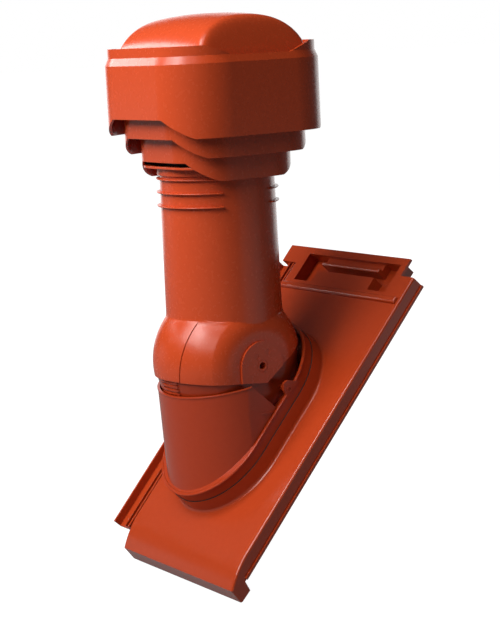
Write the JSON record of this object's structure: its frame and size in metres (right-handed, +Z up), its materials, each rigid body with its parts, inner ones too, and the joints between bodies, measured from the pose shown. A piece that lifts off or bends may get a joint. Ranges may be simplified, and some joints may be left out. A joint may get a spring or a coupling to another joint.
{
  "type": "roof tile vent",
  "caption": "Plastic vent for a pitched tiled roof: an interlocking tile with a ratcheted ball joint that keeps the pipe upright, and a square louvred hood with a vaulted lid",
  "frame": {"origin": "the centre of the duct spigot's lower end, under the roof; the tilting axis of the ball joint lies 50 mm above it", "axes": "+Z runs up along the duct and pipe, +Y points up the slope of the roof, +X to the right for someone who looks up the slope; the tile lies at a pitch of 47.5 degrees at rest"},
  "size_m": [0.257, 0.2925, 0.6076],
  "materials": {
    "tile_plastic": "moulded polypropylene, brick red, satin to glossy",
    "collar_plastic": "moulded polypropylene, brick red, satin",
    "stack_plastic": "moulded polypropylene, terracotta red, soft satin",
    "duct_plastic": "extruded polypropylene, dark grey, matt",
    "seal_rubber": "black elastomer, matt"
  },
  "bodies": {
    "base": {"roof_tile": "tile_plastic", "collar_seal": "seal_rubber", "collar_ring": "collar_plastic", "front_apron": "collar_plastic", "ball_shell": "collar_plastic", "lug_pin_left": "collar_plastic", "lug_pin_right": "collar_plastic", "pivot_rivet_left": "stack_plastic", "pivot_rivet_right": "stack_plastic"},
    "stack": {"stack_pipe": "stack_plastic", "inner_duct": "duct_plastic", "duct_spacer_lower": "duct_plastic", "duct_spacer_upper": "duct_plastic", "louvre_base": "stack_plastic", "louvre_middle": "stack_plastic", "outer_skirt": "stack_plastic", "dome_lid": "stack_plastic"}
  },
  "joints": [
    {"name": "pitch_tilt", "type": "hinge", "parent": "base", "child": "stack", "pos_m": [0, 0, 0.05], "axis": [1, 0, 0], "range_deg": [-15, 8]}
  ]
}
